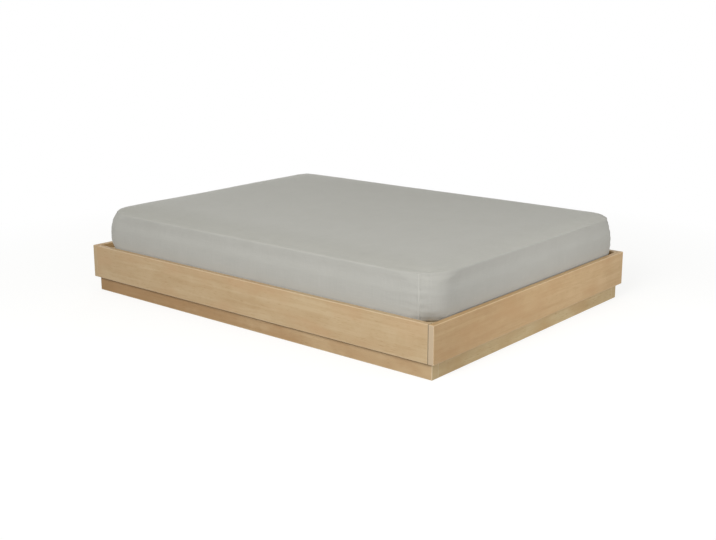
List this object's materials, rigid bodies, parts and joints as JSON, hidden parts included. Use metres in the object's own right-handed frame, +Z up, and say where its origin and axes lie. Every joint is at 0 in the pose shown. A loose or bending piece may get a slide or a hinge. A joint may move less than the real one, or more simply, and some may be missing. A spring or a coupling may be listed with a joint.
{
  "type": "floor bed",
  "caption": "Low slatted maple floor bed: a box frame on a recessed plinth, with a lift-out mattress in a grey fitted sheet.",
  "frame": {"origin": "on the floor under the middle of the bed", "axes": "+Z up, +X along the bed from the head to the foot"},
  "size_m": [1.967, 1.458, 0.398],
  "materials": {
    "maple_rail": "satin",
    "maple_plinth": "satin",
    "slat_wood": "matte",
    "dowel_beech": "matte",
    "zinc_steel": "satin",
    "foam": "matte",
    "ticking": "matte",
    "sheet_cotton": "matte",
    "elastic": "matte"
  },
  "bodies": {
    "frame": {"beam_angle_foot_left": "zinc_steel", "beam_angle_foot_right": "zinc_steel", "beam_angle_head_left": "zinc_steel", "beam_angle_head_right": "zinc_steel", "beam_angle_screws": "zinc_steel", "block_screws": "zinc_steel", "centre_beam": "slat_wood", "cleat_screws": "zinc_steel", "corner_angle_foot_left": "zinc_steel", "corner_angle_foot_right": "zinc_steel", "corner_angle_head_left": "zinc_steel", "corner_angle_head_right": "zinc_steel", "corner_angle_screws": "zinc_steel", "corner_block_foot_left": "slat_wood", "corner_block_foot_right": "slat_wood", "corner_block_head_left": "slat_wood", "corner_block_head_right": "slat_wood", "cross_member_foot": "slat_wood", "cross_member_head": "slat_wood", "cross_member_middle": "slat_wood", "foot_cleat": "slat_wood", "foot_rail": "maple_rail", "head_cleat": "slat_wood", "head_rail": "maple_rail", "plinth_dowels": "dowel_beech", "plinth_foot": "maple_plinth", "plinth_head": "maple_plinth", "plinth_side_left": "maple_plinth", "plinth_side_right": "maple_plinth", "rail_dowels": "dowel_beech", "side_cleat_left": "slat_wood", "side_cleat_right": "slat_wood", "side_rail_left": "maple_rail", "side_rail_right": "maple_rail", "slat_01": "slat_wood", "slat_02": "slat_wood", "slat_03": "slat_wood", "slat_04": "slat_wood", "slat_05": "slat_wood", "slat_06": "slat_wood", "slat_07": "slat_wood", "slat_08": "slat_wood", "slat_09": "slat_wood", "slat_10": "slat_wood", "slat_11": "slat_wood", "slat_12": "slat_wood", "slat_13": "slat_wood", "slat_14": "slat_wood", "slat_screws": "zinc_steel", "tie_screws": "zinc_steel"},
    "mattress": {"support_foam": "foam", "comfort_foam": "foam", "cover_base_panel": "ticking", "cover_border": "ticking", "cover_top_panel": "ticking", "fitted_sheet": "sheet_cotton", "hem_elastic": "elastic"}
  },
  "joints": [
    {"name": "mattress_lift", "type": "slide", "parent": "frame", "child": "mattress", "axis": [0, 0, 1], "range_m": [0, 0.3]}
  ]
}
